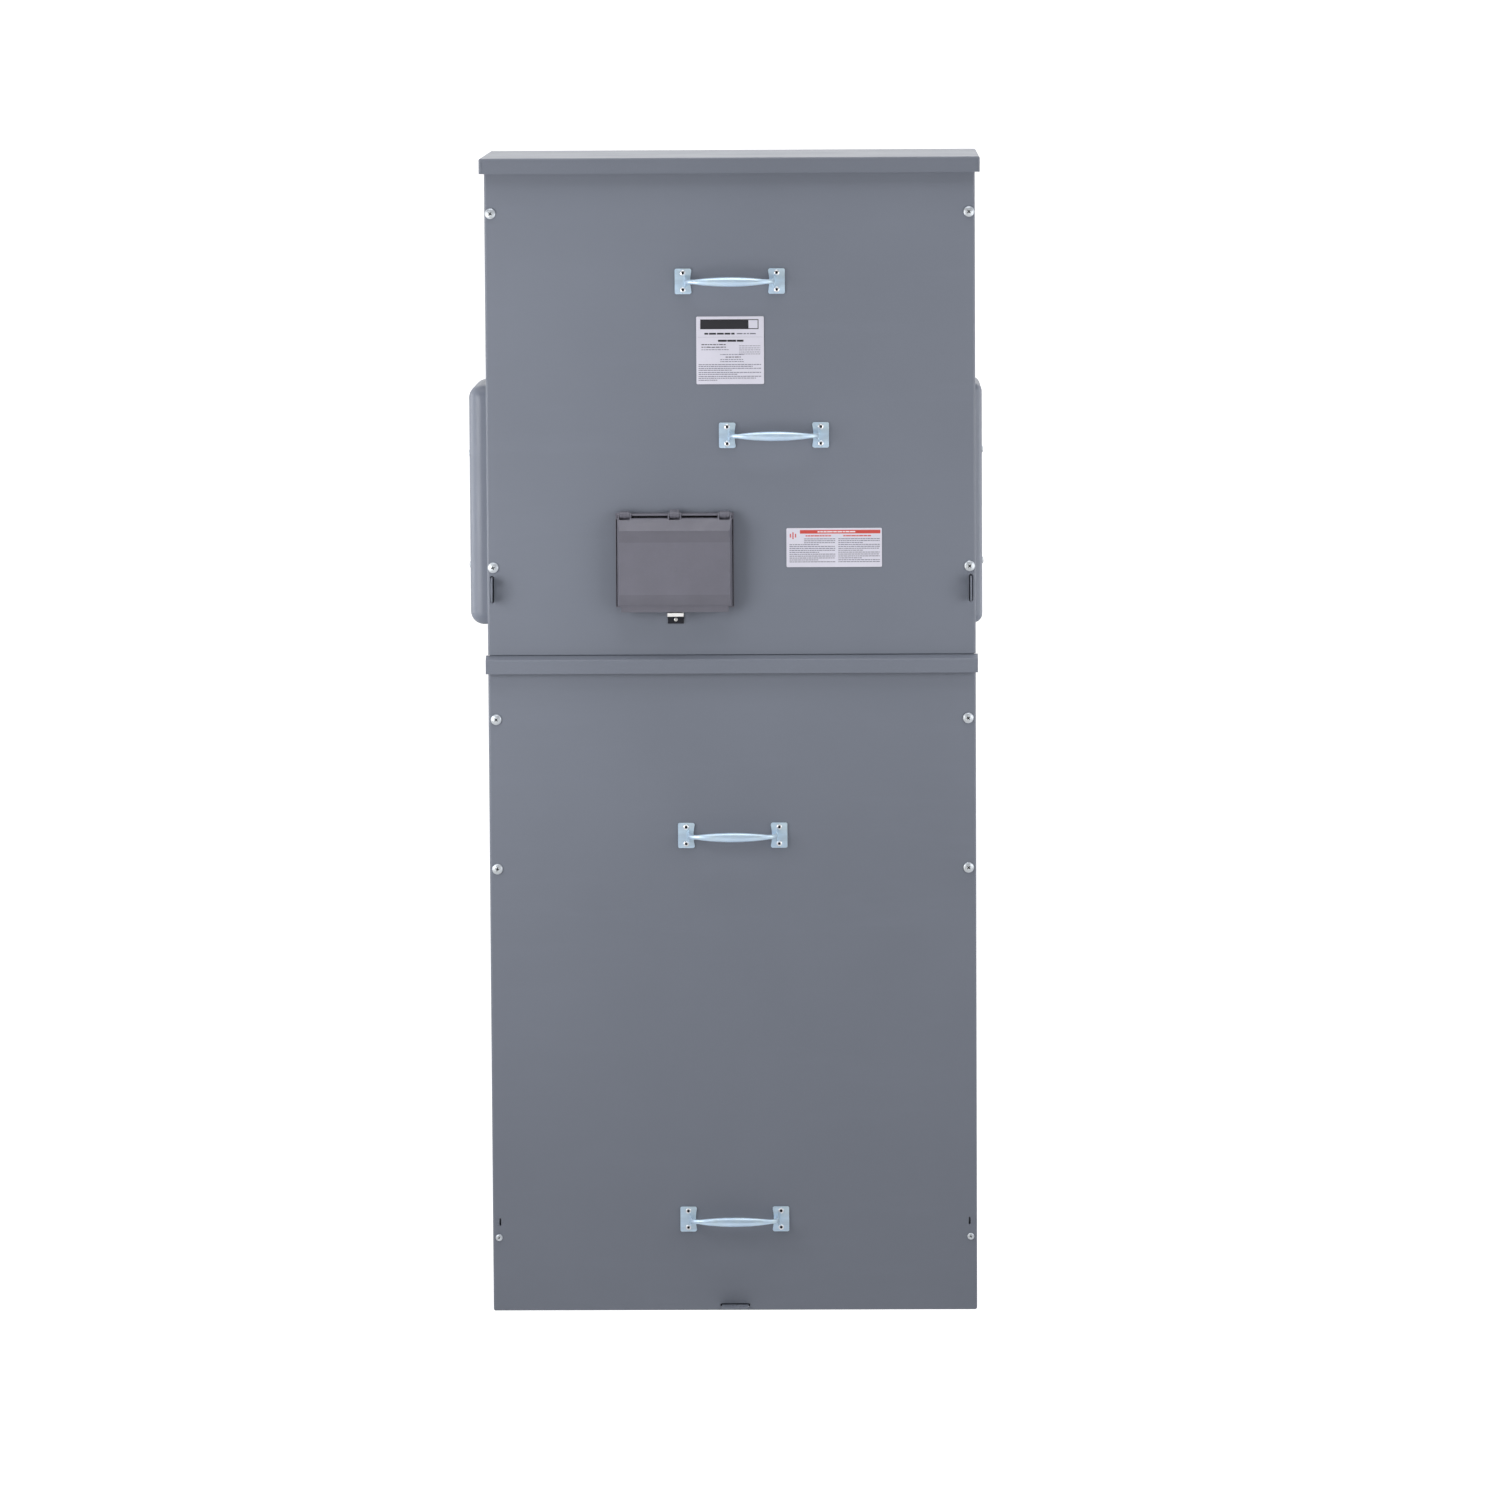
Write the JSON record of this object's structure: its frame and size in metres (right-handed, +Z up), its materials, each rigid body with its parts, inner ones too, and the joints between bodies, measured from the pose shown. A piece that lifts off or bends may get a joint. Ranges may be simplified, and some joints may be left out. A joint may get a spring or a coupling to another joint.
{
  "type": "outdoor main breaker section",
  "caption": "Tall wall-mounted grey steel switch enclosure with a rain cap, two tilting covers with pull handles, a hinged breaker-handle door and side bus covers.",
  "frame": {"origin": "middle of the flat back face that goes against the wall", "axes": "+Y into the wall, so the covers face -Y; +Z up; +X to the right as seen from the front"},
  "size_m": [0.6946, 0.3549, 1.548],
  "materials": {
    "grey_enamel": "satin powder coat, cool mid grey",
    "side_cover_enamel": "satin powder coat, cool grey",
    "grey_moulding": "satin moulded thermoplastic, warm grey",
    "zinc_plate": "bright zinc plating with a blue cast",
    "stainless_steel": "plain stainless strip",
    "tinned_copper": "tin plated bar",
    "aluminium_lug": "extruded and tinned",
    "black_moulding": "glass-filled thermoset",
    "red_insulator": "glass polyester sheet",
    "red_button": "moulded",
    "white_label": null
  },
  "bodies": {
    "enclosure": {"enclosure_shell": "grey_enamel", "top_end_wall": "grey_enamel", "bottom_end_wall": "grey_enamel", "rain_cap": "grey_enamel", "mid_drip_rail": "grey_enamel", "seal_tab_left": "grey_enamel", "seal_tab_right": "grey_enamel", "padlock_tab": "grey_enamel", "barrier_plate": "grey_enamel", "left_bus_cover": "side_cover_enamel", "right_bus_cover": "side_cover_enamel", "breaker_mounting_pan": "zinc_plate", "neutral_riser": "tinned_copper", "neutral_through_bus": "tinned_copper", "load_strap_a": "tinned_copper", "load_strap_b": "tinned_copper", "load_strap_c": "tinned_copper", "line_strap_a": "tinned_copper", "line_strap_b": "tinned_copper", "line_strap_c": "tinned_copper", "through_bus_a": "tinned_copper", "through_bus_b": "tinned_copper", "through_bus_c": "tinned_copper", "ground_bar": "aluminium_lug", "neutral_lug": "aluminium_lug", "line_lug_a": "aluminium_lug", "line_lug_b": "aluminium_lug", "line_lug_c": "aluminium_lug", "breaker_base": "black_moulding", "breaker_front": "black_moulding", "bus_support_left": "red_insulator", "bus_support_right": "red_insulator", "line_strap_support": "red_insulator"},
    "upper_cover": {"upper_cover": "grey_enamel", "window_frame": "grey_moulding", "door_hinge_pin": "grey_moulding", "hasp_staple": "stainless_steel", "upper_pull_handle_1": "zinc_plate", "upper_pull_handle_2": "zinc_plate", "rating_label": "white_label", "caution_label": "white_label", "upper_cover_screw_1": "zinc_plate", "upper_cover_screw_2": "zinc_plate", "upper_cover_screw_3": "zinc_plate", "upper_cover_screw_4": "zinc_plate"},
    "lower_cover": {"lower_cover": "grey_enamel", "lower_pull_handle_1": "zinc_plate", "lower_pull_handle_2": "zinc_plate", "small_screw_left": "zinc_plate", "small_screw_right": "zinc_plate", "lower_cover_screw_1": "zinc_plate", "lower_cover_screw_2": "zinc_plate", "lower_cover_screw_3": "zinc_plate", "lower_cover_screw_4": "zinc_plate"},
    "access_door": {"access_door": "grey_moulding"},
    "breaker_toggle": {"breaker_toggle": "black_moulding"},
    "trip_button": {"trip_button": "red_button"}
  },
  "joints": [
    {"name": "upper_cover_tilt", "type": "hinge", "parent": "enclosure", "child": "upper_cover", "pos_m": [0, -0.316, 0.7645], "axis": [-1, 0, 0], "range_deg": [0, 28]},
    {"name": "lower_cover_tilt", "type": "hinge", "parent": "enclosure", "child": "lower_cover", "pos_m": [0, -0.316, 0.0965], "axis": [-1, 0, 0], "range_deg": [0, 28]},
    {"name": "access_door_swing", "type": "hinge", "parent": "upper_cover", "child": "access_door", "pos_m": [-0.0749, -0.3315, 0.2997], "axis": [-1, 0, 0], "range_deg": [0, 110]},
    {"name": "breaker_toggle_throw", "type": "hinge", "parent": "enclosure", "child": "breaker_toggle", "pos_m": [-0.0749, -0.28, 0.2275], "axis": [1, 0, 0], "range_deg": [0, 48]},
    {"name": "trip_button_push", "type": "slide", "parent": "enclosure", "child": "trip_button", "axis": [0, 1, 0], "range_m": [0, 0.0025], "stiffness_N_per_m": 300}
  ]
}
